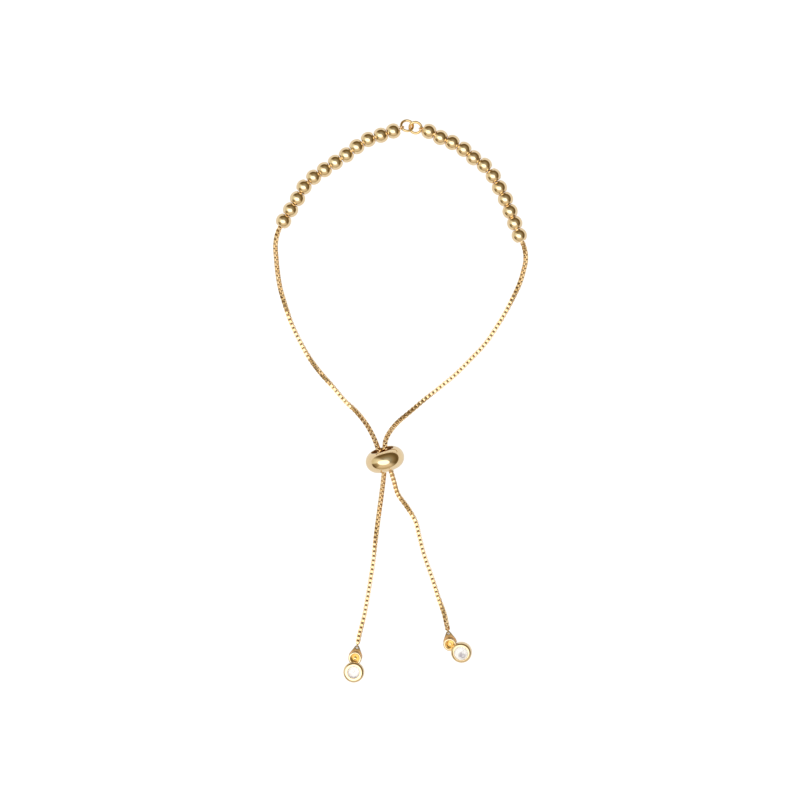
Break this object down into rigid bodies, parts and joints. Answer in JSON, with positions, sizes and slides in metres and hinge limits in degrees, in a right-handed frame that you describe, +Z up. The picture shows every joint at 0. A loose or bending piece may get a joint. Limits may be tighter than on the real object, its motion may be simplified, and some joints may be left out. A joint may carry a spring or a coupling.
{
  "type": "sliding bead and box chain bracelet",
  "caption": "Fine box chain bracelet with polished round beads, linked rings, a sliding bead that sets its size, and a small stone drop on each chain end.",
  "frame": {"origin": "middle of the laid bracelet's outline, at the height of the surface that it lies on", "axes": "+Z up from that surface, +Y towards the beaded arc and its linked rings, +X to the right seen from above"},
  "size_m": [0.053, 0.1167, 0.008],
  "materials": {
    "gold": "polished",
    "crystal": "faceted and polished"
  },
  "bodies": {
    "root": {"bead_left_01": "gold", "bead_left_02": "gold", "bead_left_03": "gold", "bead_left_04": "gold", "bead_left_05": "gold", "bead_left_06": "gold", "bead_left_07": "gold", "bead_left_08": "gold", "bead_left_09": "gold", "bead_left_10": "gold", "bead_left_11": "gold", "bead_left_12": "gold", "bead_right_01": "gold", "bead_right_02": "gold", "bead_right_03": "gold", "bead_right_04": "gold", "bead_right_05": "gold", "bead_right_06": "gold", "bead_right_07": "gold", "bead_right_08": "gold", "bead_right_09": "gold", "bead_right_10": "gold", "bead_right_11": "gold", "bead_right_12": "gold", "chain_left": "gold", "chain_right": "gold", "slider_bead": "gold", "ring_left": "gold", "ring_right": "gold", "end_tag_left": "gold", "end_tag_right": "gold", "stone_cup_left": "gold", "stone_cup_right": "gold", "stone_left": "crystal", "stone_right": "crystal"}
  },
  "joints": []
}
